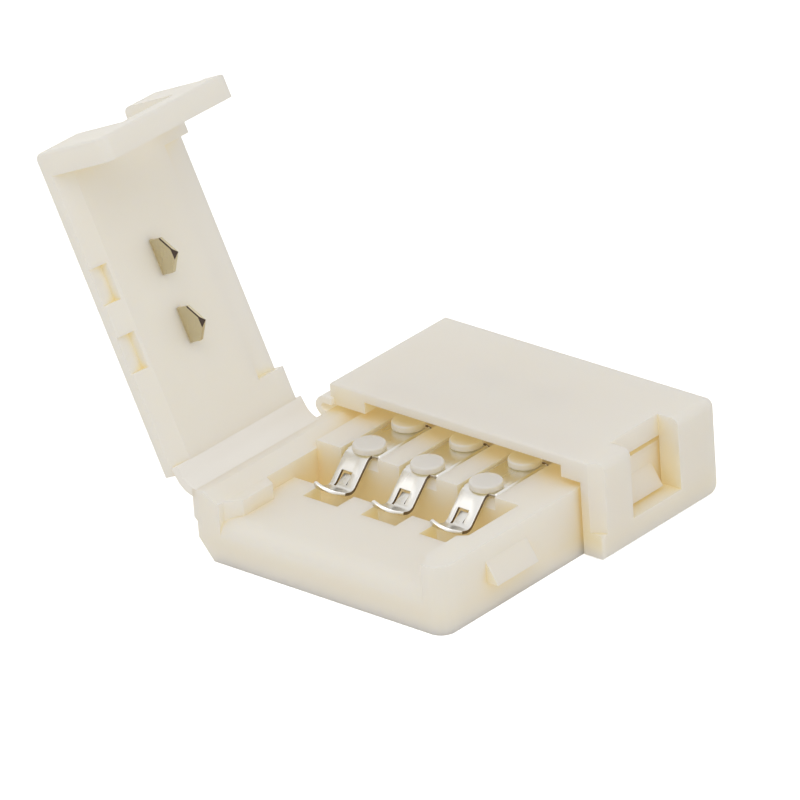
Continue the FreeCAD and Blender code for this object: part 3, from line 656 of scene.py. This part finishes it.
# %% Floor
FLOOR_SIZE = 1.2
FLOOR_Z = -0.02 * MM                    # just under the part, so that the two never touch
FLOOR_GLOW = 0.8                        # own light, which with the lamps' light makes white

bpy.ops.object.select_all(action="DESELECT")
bpy.ops.mesh.primitive_plane_add(size=FLOOR_SIZE, location=(0, 0, FLOOR_Z))
floor = bpy.context.object
floor.name = "floor"


def pale_floor():
    """Matte off-white, with light of its own for camera and glossy rays alone."""
    material, tree, output = new_material("pale_floor")
    ray = add_node(tree, "ShaderNodeLightPath")
    seen = add_node(tree, "ShaderNodeMath", {"operation": "MAXIMUM"},
                    i0=ray.outputs["Is Camera Ray"], i1=ray.outputs["Is Glossy Ray"])
    matte = add_node(tree, "ShaderNodeBsdfDiffuse", None, Color=linear("#F2F0EC"))
    glow = add_node(tree, "ShaderNodeEmission", None, Color=(1, 1, 1, 1), Strength=FLOOR_GLOW)
    both = add_node(tree, "ShaderNodeAddShader", None, i0=matte.outputs[0], i1=glow.outputs[0])
    mix = add_node(tree, "ShaderNodeMixShader", None, i0=seen.outputs[0],
                   i1=matte.outputs[0], i2=both.outputs[0])
    tree.links.new(mix.outputs[0], output.inputs["Surface"])
    return material


floor.data.materials.append(pale_floor())
print("floor:", FLOOR_SIZE, "m wide")

# %% [markdown]
# ## World
#
# The world is a soft, dim sky that lights the part at a plain level. The camera, and reflections
# in the metal, see it as plain white instead.

# %% World
SKY_LIGHT = 0.62

world = bpy.data.worlds.new("studio_world")
bpy.context.scene.world = world
world.use_nodes = True
sky = world.node_tree
sky.nodes.clear()
ray = add_node(sky, "ShaderNodeLightPath")
direct = add_node(sky, "ShaderNodeMath", {"operation": "MAXIMUM"},
                  i0=ray.outputs["Is Camera Ray"], i1=ray.outputs["Is Glossy Ray"])
seen = add_node(sky, "ShaderNodeMath", {"operation": "MAXIMUM"},
                i0=direct.outputs[0], i1=ray.outputs["Is Transmission Ray"])
dim = add_node(sky, "ShaderNodeBackground", None, Color=linear("#FFFDF8"), Strength=SKY_LIGHT)
white = add_node(sky, "ShaderNodeBackground", None, Color=(1, 1, 1, 1), Strength=1.0)
mixed = add_node(sky, "ShaderNodeMixShader", None, i0=seen.outputs[0],
                 i1=dim.outputs[0], i2=white.outputs[0])
add_node(sky, "ShaderNodeOutputWorld", None, Surface=mixed.outputs[0])
print("sky light:", SKY_LIGHT)

# %% [markdown]
# ## Lamps
#
# The photograph's light is so soft that hardly a shadow has an edge. Three wide lamps stand
# near the part: the strongest over the front, and two weaker ones to lift the two sides.

# %% Lamps
AIM = Vector((0, 0, 4 * MM))            # middle of the part, for the lamps and the camera


def soft_lamp(name, place, size, power):
    """Square area lamp that points at the connector."""
    lamp = bpy.data.lights.new(name, "AREA")
    lamp.shape = "SQUARE"
    lamp.size = size
    lamp.energy = power
    lamp_object = bpy.data.objects.new(name, lamp)
    lamp_object.location = place
    towards = AIM - Vector(place)
    lamp_object.rotation_euler = towards.to_track_quat("-Z", "Y").to_euler()
    bpy.context.scene.collection.objects.link(lamp_object)
    print(name, power, "W,", round(towards.length / MM), "mm away")


soft_lamp("key_lamp", (0.10, -0.16, 0.32), size=0.22, power=0.20)
soft_lamp("left_lamp", (-0.28, -0.18, 0.20), size=0.20, power=0.08)
soft_lamp("right_lamp", (0.30, -0.02, 0.16), size=0.20, power=0.05)

# %% [markdown]
# ## Camera
#
# The camera stands where the edges of the part say that the photograph was taken from: about
# 42 degrees round from the front, 26 degrees up, some 370 mm away and tilted 4 degrees. The lens
# follows from the scale in the photograph, and the shift from where the part's middle lies in it.

# %% Where the camera stands
AZIMUTH = math.radians(41.696)
ELEVATION = math.radians(26.364)
ROLL = math.radians(3.908)
DISTANCE = 373 * MM

out_level = Vector((math.sin(AZIMUTH), -math.cos(AZIMUTH), 0))
to_camera = out_level * math.cos(ELEVATION) + Vector((0, 0, math.sin(ELEVATION)))
level_right = Vector((math.cos(AZIMUTH), math.sin(AZIMUTH), 0))
level_up = to_camera.cross(level_right)
camera_right = level_right * math.cos(ROLL) - level_up * math.sin(ROLL)
camera_up = level_right * math.sin(ROLL) + level_up * math.cos(ROLL)
print("towards the camera:", [round(c, 3) for c in to_camera])

# %% Camera
PIXELS_PER_MM = 23.818
IMAGE_PIXELS = 800
AIM_PIXEL = (443.41, 436.12)
SENSOR_MM = 36.0

camera_data = bpy.data.cameras.new("camera")
camera = bpy.data.objects.new("camera", camera_data)
bpy.context.scene.collection.objects.link(camera)
turn = Matrix((camera_right, camera_up, to_camera)).transposed().to_4x4()
camera.matrix_world = Matrix.Translation(AIM + to_camera * DISTANCE) @ turn
camera_data.sensor_width = SENSOR_MM
camera_data.lens = SENSOR_MM * PIXELS_PER_MM * (DISTANCE / MM) / IMAGE_PIXELS
camera_data.shift_x = -(AIM_PIXEL[0] - IMAGE_PIXELS / 2) / IMAGE_PIXELS
camera_data.shift_y = (AIM_PIXEL[1] - IMAGE_PIXELS / 2) / IMAGE_PIXELS
camera_data.clip_start = 0.01
bpy.context.scene.camera = camera
bpy.context.scene.view_settings.view_transform = "Standard"
print("lens:", round(camera_data.lens, 1), "mm")
